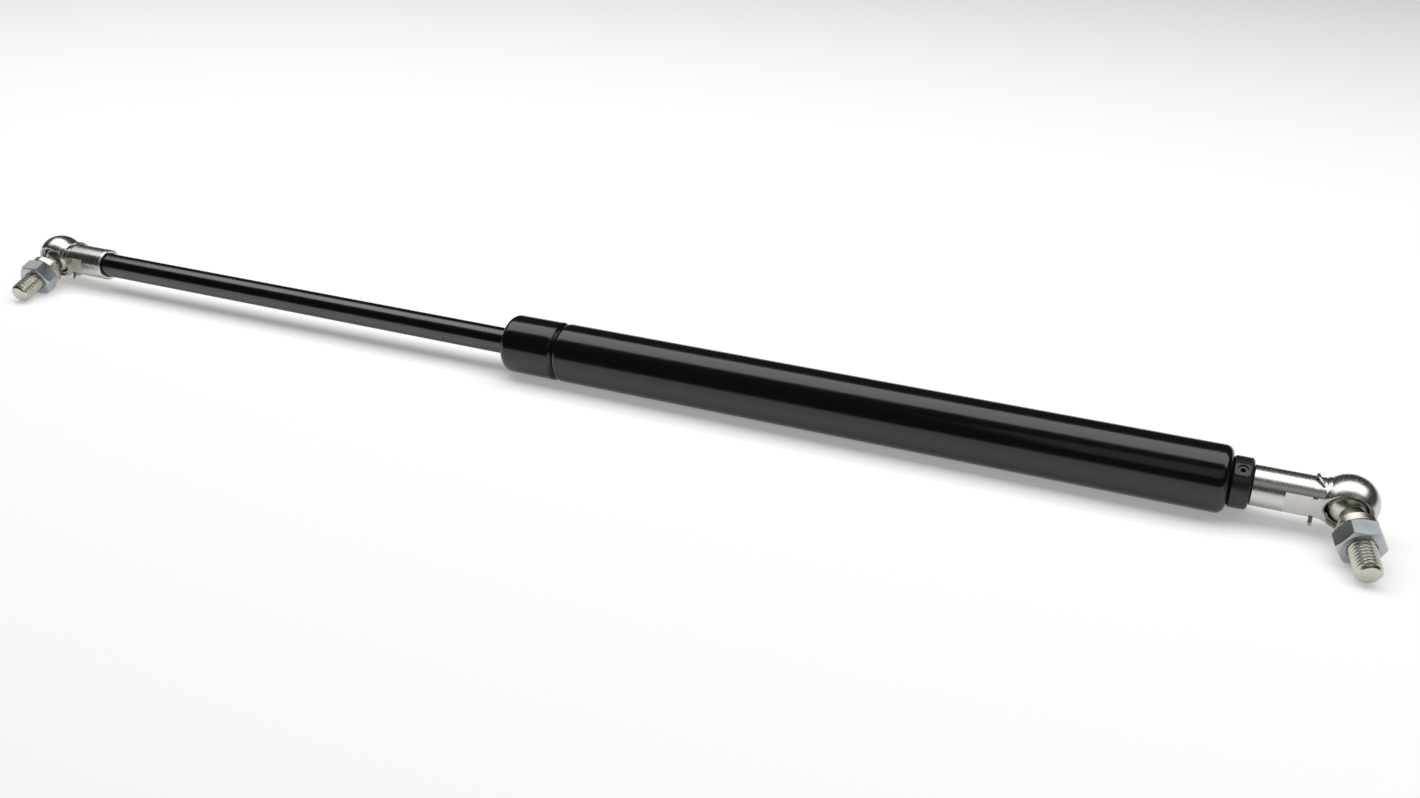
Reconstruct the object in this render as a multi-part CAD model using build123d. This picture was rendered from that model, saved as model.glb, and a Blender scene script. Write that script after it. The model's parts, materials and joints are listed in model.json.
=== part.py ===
from build123d import *
import math
import os

os.makedirs("parts", exist_ok=True)

# A gas strut stay, fully extended and lying on a floor.  Millimetres, +Z up.
# The pieces are drawn on the strut's own axis: +X runs from the rod end to the tube end,
# and x = 0 is the tube's open end, where the rod comes out.  At the end the whole strut
# is moved so that the origin is the bottom centre of its bounding box.

# ---- driving sizes -------------------------------------------------------------------

# tube
tube_length = 260.0
tube_outer_d = 22.0
tube_wall = 1.5
tube_corner_r = 3.0
lip_opening_d = 13.6
closed_end_hole_d = 10.4
groove_from_end = 22.0
groove_width = 3.4
groove_depth = 1.1

# rod
rod_d = 10.0
rod_exposed = 203.0
stroke = 200.0
rod_thread_d = 8.0
rod_thread_length = 14.0

# guide and seal pack
pack_start = 1.7
wiper_length = 2.6
guide_length = 9.2
seal_length = 4.6
support_washer_length = 1.4
pack_gap = 0.1

# piston
piston_d = 18.6
piston_length = 7.0
piston_spigot_d = 6.0
piston_washer_length = 1.5
front_washer_d = 18.0
back_washer_d = 16.0
ring_groove_length = 3.5
ring_groove_depth = 1.8
rivet_head_d = 9.0
rivet_head_length = 1.8
piston_stop_gap = 0.4

# closed end
plug_length = 11.0
plug_ring_wire_d = 1.8
gas_passage_d = 2.0
collar_d = 16.6
collar_length = 6.2
collar_chamfer = 0.7
bleed_hole_d = 3.5
bleed_window = 4.6
bleed_window_depth = 0.55
bleed_screw_length = 1.9
bleed_screw_sink = 0.5
bleed_hex = 1.5
bleed_hex_depth = 1.1
bleed_elevation = 60.0

# ball sockets
head_d = 18.0
shank_d = 13.0
ball_to_shank_end = 28.0
mouth_offset = 5.0
mouth_chamfer = 0.5
socket_bore_depth = 17.5
counterbore_depth = 2.5
shank_chamfer = 0.5
neck_fillet = 2.2
clip_wire_d = 1.3
clip_from_ball = 9.6
clip_seat_depth = 0.35
clip_gap_angle = 40.0
clip_hook_reach = 2.2
clip_hook_d = 1.15
clip_hook_elevation = -58.0
snap_wire_d = 0.9
snap_from_ball = 3.6
snap_gap_angle = 40.0

# ball studs
ball_d = 13.0
stud_neck_d = 7.4
stud_collar_d = 13.0
stud_collar_flats = 11.0
stud_collar_length = 3.0
ball_to_collar_face = 13.0
stud_thread_d = 8.0
stud_thread_length = 16.5
stud_tip_chamfer = 0.8
meshed_thread_d = 7.6
nut_face_gap = 0.15
nut_countersink = 0.5
nut_flats = 13.0
nut_length = 6.5
nut_chamfer_angle = 30.0

# how the strut lies: both sockets face the same way, and each stud leans in its socket
socket_elevation = -14.0
rod_stud_lean = 6.0
tube_stud_lean = 14.0

# fits
running_clearance = 0.05
ball_clearance = 0.08
thread_clearance = 0.05
seat_clearance = 0.05
ring_side_clearance = 0.3

# ---- worked out from them ------------------------------------------------------------

tube_r = tube_outer_d / 2
bore_r = tube_r - tube_wall
rod_r = rod_d / 2
groove_root_r = bore_r - groove_depth
pack_outer_r = bore_r - seat_clearance

wiper_x = pack_start
guide_x = wiper_x + wiper_length + pack_gap
seal_x = guide_x + guide_length + pack_gap
support_x = seal_x + seal_length + pack_gap

front_washer_x = groove_from_end + groove_width / 2 + piston_stop_gap
piston_x = front_washer_x + piston_washer_length
back_washer_x = piston_x + piston_length
rivet_x = back_washer_x + piston_washer_length
ring_groove_x = piston_x + (piston_length - ring_groove_length) / 2
ring_groove_r = piston_d / 2 - ring_groove_depth

collar_x = tube_length
tube_shank_x = collar_x + collar_length
rod_ball_x = -rod_exposed - ball_to_shank_end
tube_ball_x = tube_shank_x + ball_to_shank_end
rod_shoulder_x = -rod_exposed - counterbore_depth + pack_gap

plug_end_x = tube_length - tube_wall
plug_x = plug_end_x - plug_length
plug_ring_x = plug_x + plug_length / 2
plug_ring_r = bore_r - seat_clearance - plug_ring_wire_d / 2

cavity_r = ball_d / 2 + ball_clearance
clip_ring_r = shank_d / 2 - clip_seat_depth + clip_wire_d / 2
snap_ring_r = cavity_r + seat_clearance - snap_wire_d / 4


# ---- helpers -------------------------------------------------------------------------

def turned(corners, radii=0.0):
    """A solid turned about the X axis from (x, radius) corners, with rounded corners."""
    outline = FilletPolyline(*corners, radius=radii, close=True)
    return revolve(make_face(outline.edges()), Axis.X)


def ring(x_from, length, inner_r, outer_r):
    """A plain turned ring."""
    x_to = x_from + length
    return turned([(x_from, inner_r), (x_to, inner_r), (x_to, outer_r), (x_from, outer_r)])


def rod_piece(x_from, length, radius):
    """A round bar along X."""
    return Pos(x_from + length / 2, 0, 0) * Rot(0, 90, 0) * Cylinder(radius, length)


def around_axis(elevation):
    """Turns what points along -Y so that it points that many degrees above the floor."""
    return Rot(-elevation, 0, 0)


def wire_ring(ring_r, wire_d, gap_angle):
    """An open round-wire ring about X, with its gap facing +Y."""
    section = Plane.XY * Pos(0, ring_r) * Circle(wire_d / 2)
    return Rot(gap_angle / 2, 0, 0) * revolve(section, Axis.X, 360 - gap_angle)


# ---- tube ----------------------------------------------------------------------------

def cylinder_tube():
    """Drawn steel tube, rolled in over the seal pack, grooved behind it, closed at the end."""
    half = groove_width / 2
    lip_r = lip_opening_d / 2
    hole_r = closed_end_hole_d / 2
    left = groove_from_end - half
    right = groove_from_end + half
    end = tube_length
    inner_corner_r = tube_corner_r - tube_wall
    outer = [(0, lip_r), (0, tube_r), (left, tube_r), (groove_from_end, tube_r - groove_depth)]
    outer += [(right, tube_r), (end, tube_r), (end, hole_r)]
    inner = [(end - tube_wall, hole_r), (end - tube_wall, bore_r), (right, bore_r)]
    inner += [(groove_from_end, groove_root_r), (left, bore_r)]
    inner += [(tube_wall, bore_r), (tube_wall, lip_r)]
    outer_radii = [0.3, tube_corner_r, 0.6, 0.6, 0.6, tube_corner_r, 0.3]
    inner_radii = [0.3, inner_corner_r, 0.6, 0.6, 0.6, inner_corner_r, 0.3]
    return turned(outer + inner, outer_radii + inner_radii)


# ---- guide and seal pack -------------------------------------------------------------

def dust_wiper():
    """Rubber ring with a thin lip towards the outside."""
    lip = wiper_length * 0.45
    lip_in = rod_r + running_clearance
    body_in = rod_r + 0.8
    lip_out = lip_opening_d / 2 - 0.2
    x0 = wiper_x
    x1 = wiper_x + wiper_length
    corners = [(x0, lip_in), (x0 + lip, lip_in), (x0 + lip, body_in), (x1, body_in)]
    corners += [(x1, pack_outer_r - tube_corner_r + tube_wall), (x0, lip_out)]
    return turned(corners)


def rod_guide_bush():
    """Guide bush that carries the rod in the end of the tube."""
    inner_r = rod_r + running_clearance
    x1 = guide_x + guide_length
    corners = [(guide_x, inner_r), (x1, inner_r), (x1, pack_outer_r), (guide_x, pack_outer_r)]
    return turned(corners, [0.3, 0.3, 0.6, 0.6])


def rod_seal():
    """Rubber lip seal between the guide bush and its support washer."""
    inner_r = rod_r + running_clearance
    cup_r = (rod_r + bore_r) / 2
    x1 = seal_x + seal_length
    cup_x = x1 - seal_length * 0.55
    corners = [(seal_x, inner_r), (x1, inner_r), (x1, inner_r + 0.9), (cup_x, cup_r)]
    corners += [(x1, pack_outer_r - 0.9), (x1, pack_outer_r), (seal_x, pack_outer_r)]
    return turned(corners)


def seal_support_washer():
    """Steel washer that backs the seal and rests against the rolled groove."""
    inner_r = rod_r + 6 * running_clearance
    return ring(support_x, support_washer_length, inner_r, pack_outer_r)


# ---- rod and piston ------------------------------------------------------------------

def piston_rod():
    """Ground rod with a threaded outer end and a riveted inner spigot."""
    spigot_r = piston_spigot_d / 2
    thread_r = rod_thread_d / 2
    head_r = rivet_head_d / 2
    start = rod_shoulder_x - rod_thread_length
    end = rivet_x + rivet_head_length
    corners = [(start, 0), (start, thread_r), (rod_shoulder_x, thread_r), (rod_shoulder_x, rod_r)]
    corners += [(front_washer_x, rod_r), (front_washer_x, spigot_r), (rivet_x, spigot_r)]
    corners += [(rivet_x, head_r), (end, head_r), (end, 0)]
    return turned(corners, [0, 0.6, 0, 0.4, 0, 0, 0, 0, 1.2, 0])


def front_piston_washer():
    """Stop washer: it meets the rolled groove when the strut is fully out."""
    inner_r = piston_spigot_d / 2 + thread_clearance
    return ring(front_washer_x, piston_washer_length, inner_r, front_washer_d / 2)


def back_piston_washer():
    """Washer under the riveted head."""
    inner_r = piston_spigot_d / 2 + thread_clearance
    return ring(back_washer_x, piston_washer_length, inner_r, back_washer_d / 2)


def piston():
    """Piston with a ring groove and two small gas ways."""
    inner_r = piston_spigot_d / 2 + thread_clearance
    outer_r = piston_d / 2
    gas_way_r = 0.6
    gas_way_at = (ring_groove_r + inner_r) / 2
    body = ring(piston_x, piston_length, inner_r, outer_r)
    body -= ring(ring_groove_x, ring_groove_length, ring_groove_r, outer_r + 1)
    for side in (-1, 1):
        way = rod_piece(piston_x, piston_length, gas_way_r)
        body -= Pos(0, side * gas_way_at, 0) * way
    return body


def piston_ring():
    """Slippery ring that seals the piston against the tube."""
    x0 = ring_groove_x + ring_side_clearance
    length = ring_groove_length - 2 * ring_side_clearance
    return ring(x0, length, ring_groove_r + 2 * running_clearance, bore_r - running_clearance)


# ---- closed end of the tube ----------------------------------------------------------

def end_plug():
    """Plug in the closed end, with a threaded spigot that carries collar and socket."""
    neck_r = closed_end_hole_d / 2 - seat_clearance
    thread_r = rod_thread_d / 2
    body_r = bore_r - seat_clearance
    thread_end = tube_shank_x + rod_thread_length
    corners = [(plug_x, 0), (plug_x, body_r), (plug_end_x, body_r), (plug_end_x, neck_r)]
    corners += [(tube_length, neck_r), (tube_length, thread_r), (thread_end, thread_r), (thread_end, 0)]
    inner_corner_r = tube_corner_r - tube_wall
    body = turned(corners, [0, 0.5, inner_corner_r, 0, 0, 0, 0.6, 0])
    ring_seat_r = plug_ring_r - plug_ring_wire_d / 2 - seat_clearance
    half = plug_ring_wire_d / 2 + seat_clearance
    body -= ring(plug_ring_x - half, 2 * half, ring_seat_r, bore_r + 1)
    passage_end = collar_x + collar_length / 2 + gas_passage_d / 2
    body -= rod_piece(plug_x, passage_end - plug_x, gas_passage_d / 2)
    return body


def plug_o_ring():
    """O-ring that seals the plug in the tube."""
    section = Plane.XY * Pos(plug_ring_x, plug_ring_r) * Circle(plug_ring_wire_d / 2)
    return revolve(section, Axis.X)


def bleed_frame():
    """Frame on the collar's outside: its Z points out of the bleed hole."""
    centre = Pos(collar_x + collar_length / 2, 0, 0)
    return centre * around_axis(bleed_elevation) * Rot(90, 0, 0)


def valve_collar():
    """Collar between tube and socket, with a milled window and a tapped bleed hole."""
    inner_r = rod_thread_d / 2 + thread_clearance
    outer_r = collar_d / 2
    end = collar_x + collar_length
    rim_r = outer_r - collar_chamfer
    corners = [(collar_x, inner_r), (end, inner_r), (end, rim_r), (end - collar_chamfer, outer_r)]
    corners += [(collar_x + collar_chamfer, outer_r), (collar_x, rim_r)]
    body = turned(corners)
    floor_r = outer_r - bleed_window_depth
    window = Pos(0, 0, floor_r + 2) * Box(bleed_window, bleed_window, 4)
    window = fillet(window.edges().filter_by(Axis.Z), 0.9)
    hole_bottom = floor_r - bleed_screw_sink - bleed_screw_length
    hole = Pos(0, 0, (hole_bottom + outer_r) / 2) * Cylinder(bleed_hole_d / 2, outer_r - hole_bottom)
    return body - bleed_frame() * (window + hole)


def bleed_screw():
    """Socket grub screw that closes the filling and bleed hole."""
    top = collar_d / 2 - bleed_window_depth - bleed_screw_sink
    middle = top - bleed_screw_length / 2
    screw = Pos(0, 0, middle) * Cylinder(bleed_hole_d / 2 - thread_clearance, bleed_screw_length)
    key = RegularPolygon(bleed_hex / 2, 6, major_radius=False)
    screw -= Pos(0, 0, top - bleed_hex_depth) * extrude(key, bleed_hex_depth + 1)
    return bleed_frame() * screw


# ---- ball sockets --------------------------------------------------------------------

def socket_blank():
    """One ball socket about its ball centre: shank towards +X, mouth towards -Y."""
    shank_r = shank_d / 2
    head_r = head_d / 2
    end = ball_to_shank_end
    blend_x = math.sqrt((head_r + neck_fillet) ** 2 - (shank_r + neck_fillet) ** 2)
    share = head_r / (head_r + neck_fillet)
    leaves_head = Vector(blend_x, shank_r + neck_fillet) * share
    head = ThreePointArc((-head_r, 0), (0, head_r), leaves_head)
    neck = RadiusArc(leaves_head, (blend_x, shank_r), neck_fillet)
    rim = (end - shank_chamfer, shank_r)
    side = Polyline((blend_x, shank_r), rim, (end, shank_r - shank_chamfer), (end, 0))
    back = Line((end, 0), (-head_r, 0))
    body = revolve(make_face([*head.edges(), *neck.edges(), *side.edges(), *back.edges()]), Axis.X)
    thread_r = rod_thread_d / 2 + thread_clearance
    body -= rod_piece(end - socket_bore_depth, socket_bore_depth + 1, thread_r)
    clip_seat_r = shank_r - clip_seat_depth
    half = clip_wire_d / 2 + seat_clearance
    body -= ring(clip_from_ball - half, 2 * half, clip_seat_r - seat_clearance, shank_r + 5)
    mouth = Pos(0, -mouth_offset - head_r, 0) * Box(4 * head_r, 2 * head_r, 4 * head_r)
    body -= mouth
    bore = Rot(90, 0, 0) * Pos(0, 0, mouth_offset / 2) * Cylinder(cavity_r, mouth_offset)
    body -= Sphere(cavity_r) + bore
    flare = Cone(cavity_r, cavity_r + mouth_chamfer, mouth_chamfer)
    body -= Pos(0, -mouth_offset + mouth_chamfer / 2, 0) * Rot(90, 0, 0) * flare
    groove_r = snap_ring_r + snap_wire_d / 2 + seat_clearance
    groove = Cylinder(groove_r, snap_wire_d + 2 * seat_clearance)
    return body - Pos(0, -snap_from_ball, 0) * Rot(90, 0, 0) * groove


def rod_socket():
    """Socket on the rod end, counterbored so that the rod's shoulder enters it."""
    counterbore_r = rod_r + 8 * running_clearance
    end = ball_to_shank_end
    body = socket_blank() - rod_piece(end - counterbore_depth, counterbore_depth + 1, counterbore_r)
    return Pos(rod_ball_x, 0, 0) * around_axis(socket_elevation) * body


def tube_socket():
    """Socket on the tube end, screwed up against the valve collar."""
    return Pos(tube_ball_x, 0, 0) * around_axis(socket_elevation) * Rot(0, 180, 0) * socket_blank()


def safety_clip(ball_x, towards_shank):
    """Spring-wire clip round the shank, with one end turned out as a hook."""
    loop = wire_ring(clip_ring_r, clip_wire_d, clip_gap_angle)
    hook = Cylinder(clip_hook_d / 2, clip_hook_reach)
    hook = Rot(90, 0, 0) * Pos(0, 0, clip_ring_r + clip_hook_reach / 2) * hook
    clip = loop + around_axis(clip_hook_elevation) * hook
    return Pos(ball_x + towards_shank * clip_from_ball, 0, 0) * clip


def snap_ring(ball_x):
    """Open wire ring inside the mouth that keeps the ball in."""
    loop = Rot(0, 0, 90) * wire_ring(snap_ring_r, snap_wire_d, snap_gap_angle)
    return Pos(ball_x, 0, 0) * around_axis(socket_elevation) * Pos(0, -snap_from_ball, 0) * loop


# ---- ball studs and nuts -------------------------------------------------------------

def stud_plane(ball_x, lean):
    """Plane on a ball's centre, with its Z along the stud and its X level with the floor."""
    tilt = math.radians(socket_elevation)
    slant = math.radians(lean)
    across = math.cos(slant)
    direction = Vector(math.sin(slant), -across * math.cos(tilt), across * math.sin(tilt))
    level = Vector(0, 0, 1).cross(direction).normalized()
    return Plane(origin=(ball_x, 0, 0), x_dir=level, z_dir=direction)


def ball_stud():
    """Ball, neck, collar with two flats, and the stud, thinner where the nut's thread meshes."""
    thread_end = ball_to_collar_face + stud_thread_length
    collar_from = ball_to_collar_face - stud_collar_length
    neck = Pos(0, 0, ball_to_collar_face / 2) * Cylinder(stud_neck_d / 2, ball_to_collar_face)
    collar = Pos(0, 0, collar_from + stud_collar_length / 2)
    collar = collar * Cylinder(stud_collar_d / 2, stud_collar_length)
    collar = chamfer(collar.edges().filter_by(GeomType.CIRCLE), 0.3)
    flats = Pos(0, 0, ball_to_collar_face / 2) * Box(stud_collar_flats, 40, ball_to_collar_face + 2)
    free_from = ball_to_collar_face + nut_length + nut_face_gap
    meshed = Pos(0, 0, (ball_to_collar_face + free_from) / 2)
    meshed = meshed * Cylinder(meshed_thread_d / 2, free_from - ball_to_collar_face)
    free = Pos(0, 0, (free_from + thread_end) / 2)
    free = free * Cylinder(stud_thread_d / 2, thread_end - free_from)
    tip = free.edges().filter_by(GeomType.CIRCLE).sort_by(Axis.Z)[-1]
    free = chamfer(tip, stud_tip_chamfer)
    return Sphere(ball_d / 2) + neck + (collar & flats) + meshed + free


def hex_nut():
    """Hexagon nut with both faces chamfered, run up against the stud's collar."""
    face_r = nut_flats / 2 * 0.95
    slope = math.tan(math.radians(nut_chamfer_angle))
    corner_r = nut_flats / math.sqrt(3) + 0.5
    rise = (corner_r - face_r) * slope
    prism = extrude(RegularPolygon(nut_flats / 2, 6, major_radius=False), nut_length)
    corners = [(0, 0), (face_r, 0), (corner_r, rise), (corner_r, nut_length - rise)]
    corners += [(face_r, nut_length), (0, nut_length)]
    barrel = revolve(make_face(Plane.XZ * Polyline(*corners, close=True)), Axis.Z)
    hole_r = meshed_thread_d / 2 + thread_clearance
    mouth_r = hole_r + nut_countersink
    corners = [(0, 0), (mouth_r, 0), (hole_r, nut_countersink), (hole_r, nut_length - nut_countersink)]
    corners += [(mouth_r, nut_length), (0, nut_length)]
    hole = revolve(make_face(Plane.XZ * Polyline(*corners, close=True)), Axis.Z)
    return Pos(0, 0, ball_to_collar_face) * ((prism & barrel) - hole)


# ---- the assembly --------------------------------------------------------------------

rod_stud_plane = stud_plane(rod_ball_x, rod_stud_lean)
tube_stud_plane = stud_plane(tube_ball_x, tube_stud_lean)

pieces = {
    "cylinder_tube": cylinder_tube(),
    "dust_wiper": dust_wiper(),
    "rod_guide_bush": rod_guide_bush(),
    "rod_seal": rod_seal(),
    "seal_support_washer": seal_support_washer(),
    "piston_rod": piston_rod(),
    "front_piston_washer": front_piston_washer(),
    "piston": piston(),
    "piston_ring": piston_ring(),
    "back_piston_washer": back_piston_washer(),
    "end_plug": end_plug(),
    "plug_o_ring": plug_o_ring(),
    "valve_collar": valve_collar(),
    "bleed_screw": bleed_screw(),
    "rod_end_socket": rod_socket(),
    "tube_end_socket": tube_socket(),
    "rod_end_safety_clip": safety_clip(rod_ball_x, 1),
    "tube_end_safety_clip": safety_clip(tube_ball_x, -1),
    "rod_end_snap_ring": snap_ring(rod_ball_x),
    "tube_end_snap_ring": snap_ring(tube_ball_x),
    "rod_end_ball_stud": rod_stud_plane * ball_stud(),
    "tube_end_ball_stud": tube_stud_plane * ball_stud(),
    "rod_end_nut": rod_stud_plane * hex_nut(),
    "tube_end_nut": tube_stud_plane * hex_nut(),
}

box = Compound(children=[Compound(piece.solids()) for piece in pieces.values()]).bounding_box()
middle = box.center()
placement = Pos(-middle.X, -middle.Y, -box.min.Z)

for name, piece in pieces.items():
    solids = (placement * piece).solids()
    export_step(solids[0] if len(solids) == 1 else Compound(solids), f"parts/{name}.step")
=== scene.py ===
import json
import math

import bmesh
import bpy
from mathutils import Matrix, Vector


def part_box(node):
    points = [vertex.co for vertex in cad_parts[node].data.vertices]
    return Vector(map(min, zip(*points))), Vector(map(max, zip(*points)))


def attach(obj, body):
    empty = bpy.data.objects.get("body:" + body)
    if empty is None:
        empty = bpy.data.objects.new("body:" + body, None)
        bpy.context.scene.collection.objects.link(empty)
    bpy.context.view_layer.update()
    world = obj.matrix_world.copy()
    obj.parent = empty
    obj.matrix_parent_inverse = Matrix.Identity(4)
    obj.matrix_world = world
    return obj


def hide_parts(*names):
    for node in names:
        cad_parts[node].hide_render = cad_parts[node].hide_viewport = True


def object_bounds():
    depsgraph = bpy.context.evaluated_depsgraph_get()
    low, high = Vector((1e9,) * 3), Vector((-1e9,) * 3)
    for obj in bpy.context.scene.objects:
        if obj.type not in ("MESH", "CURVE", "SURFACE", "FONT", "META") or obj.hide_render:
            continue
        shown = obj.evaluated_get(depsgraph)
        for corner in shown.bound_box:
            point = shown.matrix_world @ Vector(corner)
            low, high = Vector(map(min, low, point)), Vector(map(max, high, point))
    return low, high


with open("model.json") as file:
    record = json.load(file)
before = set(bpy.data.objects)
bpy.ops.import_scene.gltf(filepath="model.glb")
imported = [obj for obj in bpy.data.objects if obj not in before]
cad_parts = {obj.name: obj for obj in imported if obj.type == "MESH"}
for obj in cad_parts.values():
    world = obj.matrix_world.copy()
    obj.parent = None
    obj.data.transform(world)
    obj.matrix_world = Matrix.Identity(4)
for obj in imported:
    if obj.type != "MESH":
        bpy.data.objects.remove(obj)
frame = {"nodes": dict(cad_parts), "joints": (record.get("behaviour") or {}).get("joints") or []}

cad_low, cad_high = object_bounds()


# ---- tube ---------------------------------------------------------------------------
# Drawn steel tube, sprayed gloss black. Its open end is rolled in over the seal pack and
# a groove is rolled behind the pack, which leaves fine crease rings in the paint.

MM = 0.001
RELIEF_DEPTH = 0.02 * MM
STREAK_DETAIL = 4.0
CLOUD_DETAIL = 3.0
STREAK_RANGE = (0.3, 0.7)


def surface(name, colour, tint, metallic, roughness, spread, grain, cloud, bump):
    """A finish with streaky roughness along the grain, soft colour clouds and a fine bump.

    grain and cloud are noise scales per metre; colour and tint are the clouds' two colours.
    """
    material = bpy.data.materials.new(name)
    material.use_nodes = True
    tree = material.node_tree
    shader = tree.nodes["Principled BSDF"]
    shader.inputs["Metallic"].default_value = metallic
    place = tree.nodes.new("ShaderNodeTexCoord")
    stretch = tree.nodes.new("ShaderNodeMapping")
    stretch.inputs["Scale"].default_value = grain
    tree.links.new(place.outputs["Object"], stretch.inputs["Vector"])
    streaks = tree.nodes.new("ShaderNodeTexNoise")
    streaks.inputs["Scale"].default_value = 1.0
    streaks.inputs["Detail"].default_value = STREAK_DETAIL
    tree.links.new(stretch.outputs["Vector"], streaks.inputs["Vector"])
    polish = tree.nodes.new("ShaderNodeMapRange")
    polish.inputs["From Min"].default_value = STREAK_RANGE[0]
    polish.inputs["From Max"].default_value = STREAK_RANGE[1]
    polish.inputs["To Min"].default_value = roughness - spread
    polish.inputs["To Max"].default_value = roughness + spread
    tree.links.new(streaks.outputs["Fac"], polish.inputs["Value"])
    tree.links.new(polish.outputs["Result"], shader.inputs["Roughness"])
    clouds = tree.nodes.new("ShaderNodeTexNoise")
    clouds.inputs["Scale"].default_value = cloud
    clouds.inputs["Detail"].default_value = CLOUD_DETAIL
    tree.links.new(place.outputs["Object"], clouds.inputs["Vector"])
    blend = tree.nodes.new("ShaderNodeMix")
    blend.data_type = "RGBA"
    blend.inputs[6].default_value = (*colour, 1.0)
    blend.inputs[7].default_value = (*tint, 1.0)
    tree.links.new(clouds.outputs["Fac"], blend.inputs[0])
    tree.links.new(blend.outputs[2], shader.inputs["Base Color"])
    relief = tree.nodes.new("ShaderNodeBump")
    relief.inputs["Strength"].default_value = bump
    relief.inputs["Distance"].default_value = RELIEF_DEPTH
    tree.links.new(streaks.outputs["Fac"], relief.inputs["Height"])
    tree.links.new(relief.outputs["Normal"], shader.inputs["Normal"])
    return material


def wear(piece, material):
    """Gives a piece one finish."""
    piece.data.materials.clear()
    piece.data.materials.append(material)


TUBE_R = 11.0 * MM
TUBE_WALL = 1.5 * MM
TUBE_CORNER = 3.0 * MM
LIP_R = 6.8 * MM
END_HOLE_R = 5.2 * MM
GROOVE_AT = 22.0 * MM
GROOVE_DEPTH = 1.1 * MM
GROOVE_SHARP_SIDE = 1.3 * MM
GROOVE_ROUND_SIDE = 2.6 * MM
CREASES = 4
CREASE_PITCH = 0.75 * MM
CREASE_HEIGHT = 0.05 * MM
GROOVE_STEPS = 90
SHOULDER_POWER = 1.2
TUBE_SIDES = 160
TUBE_SHARP_EDGE = math.radians(35)
PAINT_IOR = 1.55


def corner(x, r, radius, start, end, steps=10):
    """Points of a rounded corner, angles in degrees round its own centre."""
    points = []
    for index in range(steps + 1):
        angle = math.radians(start + (end - start) * index / steps)
        points.append((x + radius * math.cos(angle), r + radius * math.sin(angle)))
    return points


def groove_drop(x):
    """How deep the rolled groove and its creases are at one place along the tube."""
    away = x - GROOVE_AT
    side = GROOVE_SHARP_SIDE if away < 0 else GROOVE_ROUND_SIDE
    share = min(1.0, abs(away) / side)
    drop = GROOVE_DEPTH * (1 - math.sin(share * math.pi / 2) ** SHOULDER_POWER)
    back = (GROOVE_AT - GROOVE_SHARP_SIDE - x) / CREASE_PITCH
    if 0 < back < CREASES:
        drop += CREASE_HEIGHT * math.sin(math.pi * back) ** 2 * (1 - back / CREASES)
    return drop


def tube_outline(length):
    """Closed outline of the tube's wall, as (along, radius) from its open end."""
    inner_corner = TUBE_CORNER - TUBE_WALL
    bore = TUBE_R - TUBE_WALL
    points = [(0.0, LIP_R)] + corner(TUBE_CORNER, TUBE_R - TUBE_CORNER, TUBE_CORNER, 180, 90)
    start = GROOVE_AT - GROOVE_SHARP_SIDE - CREASES * CREASE_PITCH
    stop = GROOVE_AT + GROOVE_ROUND_SIDE
    for index in range(GROOVE_STEPS + 1):
        x = start + (stop - start) * index / GROOVE_STEPS
        points.append((x, TUBE_R - groove_drop(x)))
    points += corner(length - TUBE_CORNER, TUBE_R - TUBE_CORNER, TUBE_CORNER, 90, 0)
    points += [(length, END_HOLE_R), (length - TUBE_WALL, END_HOLE_R)]
    points += corner(length - TUBE_CORNER, bore - inner_corner, inner_corner, 0, 90, 4)
    points += [(GROOVE_AT + GROOVE_SHARP_SIDE, bore), (GROOVE_AT, bore - GROOVE_DEPTH)]
    points += [(GROOVE_AT - GROOVE_SHARP_SIDE, bore)]
    points += corner(TUBE_CORNER, bore - inner_corner, inner_corner, 90, 180, 4)
    points += [(TUBE_WALL, LIP_R)]
    return points


def turned_shell(name, outline, start):
    """A closed outline turned about the strut's axis, from a point on that axis."""
    mesh = bmesh.new()
    rings = []
    for along, radius in outline:
        ring = []
        for step in range(TUBE_SIDES):
            angle = 2 * math.pi * step / TUBE_SIDES
            y = start.y + radius * math.cos(angle)
            z = start.z + radius * math.sin(angle)
            ring.append(mesh.verts.new((start.x + along, y, z)))
        rings.append(ring)
    for near, far in zip(rings, rings[1:] + rings[:1]):
        for step in range(TUBE_SIDES):
            turn = (step + 1) % TUBE_SIDES
            mesh.faces.new((near[step], near[turn], far[turn], far[step]))
    bmesh.ops.recalc_face_normals(mesh, faces=mesh.faces)
    data = bpy.data.meshes.new(name)
    mesh.to_mesh(data)
    mesh.free()
    data.polygons.foreach_set("use_smooth", [True] * len(data.polygons))
    data.set_sharp_from_angle(angle=TUBE_SHARP_EDGE)
    piece = bpy.data.objects.new(name, data)
    bpy.context.scene.collection.objects.link(piece)
    return piece


gloss_paint = surface(
    "gloss_black_paint", colour=(0.003, 0.003, 0.0035), tint=(0.005, 0.005, 0.0055), metallic=0.0,
    roughness=0.17, spread=0.03, grain=(150, 700, 700), cloud=40, bump=0.06)
gloss_paint.node_tree.nodes["Principled BSDF"].inputs["IOR"].default_value = PAINT_IOR
tube_low, tube_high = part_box("cylinder_tube")
open_end = Vector((tube_low.x, (tube_low.y + tube_high.y) / 2, (tube_low.z + tube_high.z) / 2))
tube = turned_shell("painted_tube", tube_outline(tube_high.x - tube_low.x), open_end)
wear(tube, gloss_paint)
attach(tube, "tube")
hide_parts("cylinder_tube")


# ---- seal pack ----------------------------------------------------------------------
# Rubber wiper, guide bush, lip seal and backing washer, dropped into the open end before
# it is rolled over. Only the wiper shows, as a dark ring round the rod.

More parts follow.
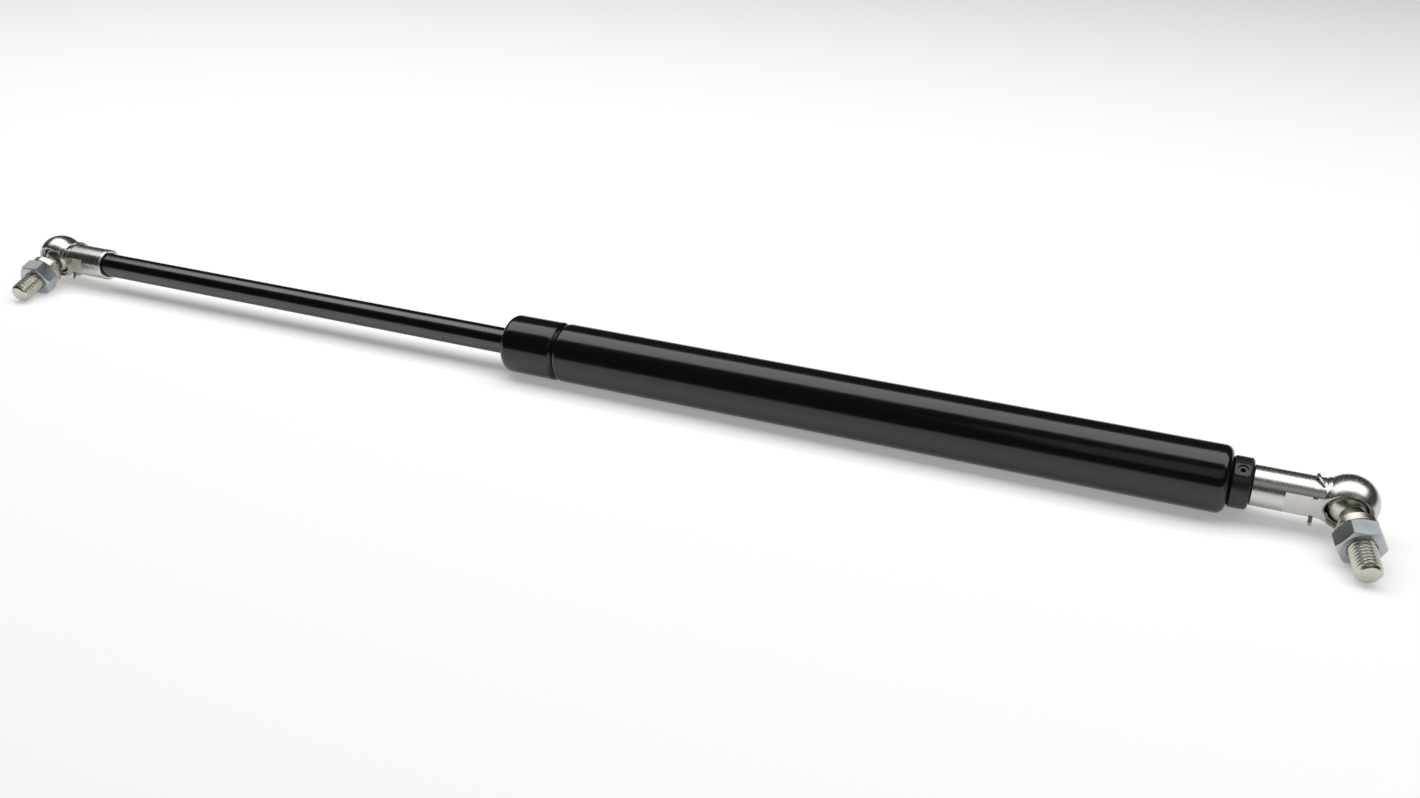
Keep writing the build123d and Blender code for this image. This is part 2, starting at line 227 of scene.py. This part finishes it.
nodes = frame["nodes"]
rubber = surface(
    "nitrile_rubber", colour=(0.010, 0.010, 0.010), tint=(0.016, 0.016, 0.016), metallic=0.0,
    roughness=0.6, spread=0.1, grain=(900, 900, 900), cloud=200, bump=0.4)
turned_alloy = surface(
    "turned_alloy", colour=(0.55, 0.54, 0.50), tint=(0.48, 0.47, 0.44), metallic=1.0,
    roughness=0.3, spread=0.08, grain=(4000, 60, 60), cloud=120, bump=0.4)
for name in ("dust_wiper", "rod_seal", "plug_o_ring"):
    wear(nodes[name], rubber)
for name in ("rod_guide_bush", "end_plug", "piston"):
    wear(nodes[name], turned_alloy)


# ---- rod and piston -----------------------------------------------------------------
# Ground steel rod, nitrided to a deep grey and polished. The piston, its slippery ring and
# the washers sit on a spigot at the inner end, whose tip is riveted over.

rod_finish = surface(
    "nitrided_rod", colour=(0.10, 0.10, 0.105), tint=(0.075, 0.075, 0.08), metallic=1.0,
    roughness=0.20, spread=0.04, grain=(150, 1500, 1500), cloud=60, bump=0.08)
slippery = surface(
    "ring_plastic", colour=(0.70, 0.68, 0.60), tint=(0.62, 0.60, 0.53), metallic=0.0,
    roughness=0.45, spread=0.08, grain=(700, 700, 700), cloud=150, bump=0.2)
washer_steel = surface(
    "washer_steel", colour=(0.50, 0.50, 0.49), tint=(0.42, 0.42, 0.41), metallic=1.0,
    roughness=0.35, spread=0.08, grain=(900, 900, 900), cloud=150, bump=0.3)
wear(nodes["piston_rod"], rod_finish)
wear(nodes["piston_ring"], slippery)
for name in ("seal_support_washer", "front_piston_washer", "back_piston_washer"):
    wear(nodes[name], washer_steel)


# ---- valve collar and bleed screw ---------------------------------------------------
# Blackened collar screwed down on the tube's end, with a milled window. A socket grub
# screw in the window closes the hole through which the strut is filled and bled.

collar_finish = surface(
    "black_collar", colour=(0.010, 0.010, 0.011), tint=(0.016, 0.016, 0.017), metallic=0.0,
    roughness=0.30, spread=0.06, grain=(3000, 80, 80), cloud=90, bump=0.35)
screw_finish = surface(
    "blackened_screw", colour=(0.06, 0.06, 0.065), tint=(0.04, 0.04, 0.045), metallic=1.0,
    roughness=0.35, spread=0.08, grain=(900, 900, 900), cloud=300, bump=0.3)
wear(nodes["valve_collar"], collar_finish)
wear(nodes["bleed_screw"], screw_finish)


# ---- ball sockets -------------------------------------------------------------------
# Turned steel sockets, bright zinc plated. The head is a ball with its mouth cut flat;
# the shank is tapped and screws onto the rod at one end and the tube's spigot at the other.

socket_finish = surface(
    "bright_zinc", colour=(0.60, 0.585, 0.545), tint=(0.56, 0.55, 0.515), metallic=1.0,
    roughness=0.27, spread=0.03, grain=(2500, 40, 40), cloud=70, bump=0.06)
for name in ("rod_end_socket", "tube_end_socket"):
    wear(nodes[name], socket_finish)


# ---- safety clips and snap rings ----------------------------------------------------
# Spring wire. The clip passes behind the shank, one end bent in to the head and the other
# turned out as a hook for a fingernail. The snap ring sits inside the mouth.

CLIP_WIRE = 1.3 * MM
CLIP_TURN = -250.0
CLIP_START = -58.0
CLIP_BEND_FROM = 0.84
CLIP_END_SHIFT = 2.2 * MM
CLIP_END_SINK = 1.3 * MM
CLIP_STEPS = 96
HOOK_TIP = 2.3 * MM
HOOK_BEND = 1.2 * MM
WIRE_SIDES = 16
WIRE_TIP = 0.6

joints = {joint["name"]: joint for joint in frame["joints"]}
spring_steel = surface(
    "spring_wire", colour=(0.42, 0.40, 0.37), tint=(0.36, 0.345, 0.32), metallic=1.0,
    roughness=0.28, spread=0.04, grain=(900, 900, 900), cloud=200, bump=0.08)


def wire(name, path, radius, body):
    """A round wire swept along points, closed and a little narrower at both ends."""
    mesh = bmesh.new()
    loops = []
    count = len(path)
    along = Vector((1, 0, 0))
    for index, point in enumerate(path):
        ahead = path[min(index + 1, count - 1)] - path[max(index - 1, 0)]
        ahead.normalize()
        side = along.cross(ahead).normalized()
        other = ahead.cross(side)
        tip = WIRE_TIP if index in (0, count - 1) else 1.0
        loop = []
        for step in range(WIRE_SIDES):
            angle = 2 * math.pi * step / WIRE_SIDES
            arm = (side * math.cos(angle) + other * math.sin(angle)) * radius * tip
            loop.append(mesh.verts.new(point + arm))
        loops.append(loop)
    for near, far in zip(loops, loops[1:]):
        for step in range(WIRE_SIDES):
            turn = (step + 1) % WIRE_SIDES
            mesh.faces.new((near[step], near[turn], far[turn], far[step]))
    mesh.faces.new(loops[0][::-1])
    mesh.faces.new(loops[-1])
    bmesh.ops.recalc_face_normals(mesh, faces=mesh.faces)
    data = bpy.data.meshes.new(name)
    mesh.to_mesh(data)
    mesh.free()
    data.polygons.foreach_set("use_smooth", [True] * len(data.polygons))
    piece = bpy.data.objects.new(name, data)
    bpy.context.scene.collection.objects.link(piece)
    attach(piece, body)
    return piece


def clip_path(node, towards_shank):
    """Hook, the bow behind the shank, and the end that bends over and down into the head."""
    low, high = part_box(node)
    x_mid = (low.x + high.x) / 2
    ball = Vector(joints["tube_stud_swivel"]["pos_m"])
    centre = Vector((x_mid, ball.y, ball.z))
    ring_r = (high.z - ball.z) - CLIP_WIRE / 2
    points = []
    start = math.radians(CLIP_START)
    outward = Vector((0, -math.cos(start), math.sin(start)))
    points.append(centre + outward * (ring_r + HOOK_TIP))
    points.append(centre + outward * (ring_r + HOOK_BEND))
    for index in range(CLIP_STEPS + 1):
        share = index / CLIP_STEPS
        angle = start + math.radians(CLIP_TURN) * share
        over = max(0.0, (share - CLIP_BEND_FROM) / (1 - CLIP_BEND_FROM))
        shift = -towards_shank * CLIP_END_SHIFT * over
        direction = Vector((0, -math.cos(angle), math.sin(angle)))
        reach = ring_r - CLIP_END_SINK * over ** 2
        points.append(centre + Vector((shift, 0, 0)) + direction * reach)
    return points


for node, body, towards_shank in (
        ("rod_end_safety_clip", "rod", 1),
        ("tube_end_safety_clip", "tube", -1)):
    clip = wire(node + "_wire", clip_path(node, towards_shank), CLIP_WIRE / 2, body)
    wear(clip, spring_steel)
    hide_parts(node)
for name in ("rod_end_snap_ring", "tube_end_snap_ring"):
    wear(nodes[name], spring_steel)


# ---- ball studs ---------------------------------------------------------------------
# Turned and rolled in one piece: ball, neck, collar with two spanner flats, and a rolled
# M8 thread with a turned, chamfered end. Zinc plated with a pale yellow cast.

BALL_R = 6.5 * MM
NECK_R = 3.7 * MM
COLLAR_R = 6.5 * MM
COLLAR_FLAT = 5.5 * MM
COLLAR_FROM = 10.0 * MM
COLLAR_TO = 13.0 * MM
COLLAR_EDGE = 0.3 * MM
THREAD_R = 4.0 * MM
THREAD_PITCH = 1.25 * MM
THREAD_DEPTH = 0.70 * MM
THREAD_END = 29.5 * MM
TIP_CHAMFER = 0.8 * MM
CREST_SHARE = 0.12
FLANK_SHARE = 0.72
CHAMFER_STEPS = (0.3, 0.65, 1.0)
TIP_RINGS = 10
TIP_MARK_DEPTH = 0.02 * MM
BALL_STEPS = 40
ROWS_PER_PITCH = 14
STUD_SIDES = 96
STUD_SHARP_EDGE = math.radians(38)

stud_finish = surface(
    "pale_zinc", colour=(0.62, 0.605, 0.53), tint=(0.54, 0.53, 0.47), metallic=1.0,
    roughness=0.28, spread=0.04, grain=(250, 250, 1500), cloud=120, bump=0.10)


def stud_outline():
    """Rows of (height, radius, kind) from the ball's pole to the middle of the tip."""
    rows = []
    neck_angle = math.pi - math.asin(NECK_R / BALL_R)
    for step in range(1, BALL_STEPS + 1):
        angle = neck_angle * step / BALL_STEPS
        rows.append((-BALL_R * math.cos(angle), BALL_R * math.sin(angle), "round"))
    rows.append((COLLAR_FROM - COLLAR_EDGE, NECK_R, "round"))
    rows.append((COLLAR_FROM, NECK_R + COLLAR_EDGE, "round"))
    rows.append((COLLAR_FROM, COLLAR_R - COLLAR_EDGE, "collar"))
    rows.append((COLLAR_FROM + COLLAR_EDGE, COLLAR_R, "collar"))
    rows.append((COLLAR_TO - COLLAR_EDGE, COLLAR_R, "collar"))
    rows.append((COLLAR_TO, COLLAR_R - COLLAR_EDGE, "collar"))
    rows.append((COLLAR_TO, THREAD_R, "round"))
    turns = (THREAD_END - TIP_CHAMFER - COLLAR_TO) / THREAD_PITCH
    count = int(turns * ROWS_PER_PITCH)
    for step in range(count + 1):
        rows.append((COLLAR_TO + step * THREAD_PITCH / ROWS_PER_PITCH, THREAD_R, "thread"))
    tip_r = THREAD_R - TIP_CHAMFER
    for share in CHAMFER_STEPS:
        height = THREAD_END - TIP_CHAMFER + TIP_CHAMFER * share
        rows.append((height, THREAD_R - TIP_CHAMFER * share, "chamfer"))
    for step in range(1, TIP_RINGS):
        dip = TIP_MARK_DEPTH if step % 2 else 0.0
        rows.append((THREAD_END - dip, tip_r * (1 - step / TIP_RINGS), "round"))
    return rows


def stud_radius(height, radius, kind, angle):
    """The radius at one height and angle: flats on the collar, a helix on the thread."""
    if kind == "collar":
        return min(radius, COLLAR_FLAT / max(abs(math.cos(angle)), 1e-6))
    if kind in ("thread", "chamfer"):
        phase = (height / THREAD_PITCH - angle / (2 * math.pi)) % 1.0
        flank = abs(phase - 0.5) * 2
        shape = min(1.0, max(0.0, (flank - CREST_SHARE) / FLANK_SHARE))
        start = min(1.0, (height - COLLAR_TO) / THREAD_PITCH)
        groove = THREAD_DEPTH * (1 - shape) * start
        return min(radius, THREAD_R - groove)
    return radius


def ball_stud(name, joint, body):
    """One stud, built on its own axis and set on its ball centre."""
    mesh = bmesh.new()
    bottom = mesh.verts.new((0, 0, -BALL_R))
    loops = []
    for height, radius, kind in stud_outline():
        loop = []
        for step in range(STUD_SIDES):
            angle = 2 * math.pi * step / STUD_SIDES
            reach = stud_radius(height, radius, kind, angle)
            loop.append(mesh.verts.new((reach * math.cos(angle), reach * math.sin(angle), height)))
        loops.append(loop)
    top = mesh.verts.new((0, 0, THREAD_END))
    for step in range(STUD_SIDES):
        turn = (step + 1) % STUD_SIDES
        mesh.faces.new((bottom, loops[0][turn], loops[0][step]))
        mesh.faces.new((top, loops[-1][step], loops[-1][turn]))
        for near, far in zip(loops, loops[1:]):
            mesh.faces.new((near[step], near[turn], far[turn], far[step]))
    data = bpy.data.meshes.new(name)
    mesh.to_mesh(data)
    mesh.free()
    data.polygons.foreach_set("use_smooth", [True] * len(data.polygons))
    data.set_sharp_from_angle(angle=STUD_SHARP_EDGE)
    piece = bpy.data.objects.new(name, data)
    bpy.context.scene.collection.objects.link(piece)
    axis = Vector(joint["axis"]).normalized()
    level = Vector((0, 0, 1)).cross(axis).normalized()
    turned = Matrix((level, axis.cross(level), axis)).transposed()
    piece.matrix_world = Matrix.Translation(joint["pos_m"]) @ turned.to_4x4()
    wear(piece, stud_finish)
    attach(piece, body)
    return piece


for end in ("rod", "tube"):
    stud = ball_stud(end + "_end_stud_turned", joints[end + "_stud_swivel"], end + "_stud")
    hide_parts(end + "_end_ball_stud")


# ---- nuts ---------------------------------------------------------------------------
# Cold-formed M8 hexagon nuts, both faces chamfered, zinc plated with a bluish cast, run
# down the thread against the stud's collar.

nut_finish = surface(
    "blue_zinc", colour=(0.48, 0.51, 0.53), tint=(0.40, 0.43, 0.46), metallic=1.0,
    roughness=0.30, spread=0.04, grain=(260, 260, 260), cloud=180, bump=0.08)
for name in ("rod_end_nut", "tube_end_nut"):
    wear(nodes[name], nut_finish)


# ---- floor, lights and camera -------------------------------------------------------
# A pale floor that camera and glossy rays see a little brighter, one long softbox over the
# strut, a weak light in front, a dim room, and a camera in front of the strut's tube half.

FLOOR_SIZE = 6.0
FLOOR_COLOUR = (0.90, 0.90, 0.90, 1.0)
FLOOR_GLOW = 0.30
FLOOR_ROUGHNESS = 0.9
FLOOR_SPECULAR = 0.1
SOFTBOX_SIZE = (2.4, 0.76)
SOFTBOX_AT = (0.0, 0.18, 0.90)
SOFTBOX_POWER = 13.0
FILL_SIZE = (1.0, 0.6)
FILL_AT = (0.5, -0.9, 0.9)
FILL_POWER = 0.7
ROOM_GREY = 0.035

floor_mesh = bmesh.new()
bmesh.ops.create_grid(floor_mesh, x_segments=2, y_segments=2, size=FLOOR_SIZE / 2)
floor_data = bpy.data.meshes.new("floor")
floor_mesh.to_mesh(floor_data)
floor_mesh.free()
floor = bpy.data.objects.new("floor", floor_data)
floor.location.z = cad_low[2]
bpy.context.scene.collection.objects.link(floor)
floor_paint = bpy.data.materials.new("pale_floor")
floor_paint.use_nodes = True
floor_shader = floor_paint.node_tree.nodes["Principled BSDF"]
floor_shader.inputs["Base Color"].default_value = FLOOR_COLOUR
floor_shader.inputs["Roughness"].default_value = FLOOR_ROUGHNESS
floor_shader.inputs["Specular IOR Level"].default_value = FLOOR_SPECULAR
floor_shader.inputs["Emission Color"].default_value = (1.0, 1.0, 1.0, 1.0)
floor_tree = floor_paint.node_tree
rays = floor_tree.nodes.new("ShaderNodeLightPath")
seen = rays.outputs["Is Camera Ray"]
for kind in ("Is Glossy Ray", "Is Transmission Ray"):
    either = floor_tree.nodes.new("ShaderNodeMath")
    either.operation = "MAXIMUM"
    floor_tree.links.new(seen, either.inputs[0])
    floor_tree.links.new(rays.outputs[kind], either.inputs[1])
    seen = either.outputs["Value"]
glow = floor_tree.nodes.new("ShaderNodeMath")
glow.operation = "MULTIPLY"
glow.inputs[1].default_value = FLOOR_GLOW
floor_tree.links.new(seen, glow.inputs[0])
floor_tree.links.new(glow.outputs["Value"], floor_shader.inputs["Emission Strength"])
floor.data.materials.append(floor_paint)


def softbox(name, place, size, power, target):
    """A rectangular light that faces a point."""
    light = bpy.data.lights.new(name, "AREA")
    light.shape = "RECTANGLE"
    light.size, light.size_y = size
    light.energy = power
    lamp = bpy.data.objects.new(name, light)
    lamp.location = place
    aim = Vector(target) - Vector(place)
    lamp.rotation_euler = aim.to_track_quat("-Z", "Y").to_euler()
    bpy.context.scene.collection.objects.link(lamp)


softbox("softbox", SOFTBOX_AT, SOFTBOX_SIZE, SOFTBOX_POWER, (SOFTBOX_AT[0], SOFTBOX_AT[1], 0))
softbox("fill", FILL_AT, FILL_SIZE, FILL_POWER, (0, 0, 0))

world = bpy.data.worlds.new("room")
world.use_nodes = True
room_light = world.node_tree.nodes["Background"]
room_light.inputs["Color"].default_value = (ROOM_GREY, ROOM_GREY, ROOM_GREY, 1.0)
bpy.context.scene.world = world

CAMERA_FROM_ROD_BALL = Vector((0.4823, -0.3918, 0.2127))
CAMERA_TURN = math.radians(23.32)
CAMERA_PITCH = math.radians(27.31)
CAMERA_LENS = 33.47
SENSOR_WIDTH = 36.0
NEAREST_SEEN = 0.01

camera_data = bpy.data.cameras.new("camera")
camera_data.lens = CAMERA_LENS
camera_data.sensor_width = SENSOR_WIDTH
camera_data.clip_start = NEAREST_SEEN
camera = bpy.data.objects.new("camera", camera_data)
camera.location = Vector(joints["rod_stud_swivel"]["pos_m"]) + CAMERA_FROM_ROD_BALL
camera.rotation_euler = (math.pi / 2 - CAMERA_PITCH, 0.0, CAMERA_TURN)
bpy.context.scene.collection.objects.link(camera)
bpy.context.scene.camera = camera
bpy.context.scene.view_settings.view_transform = "Standard"
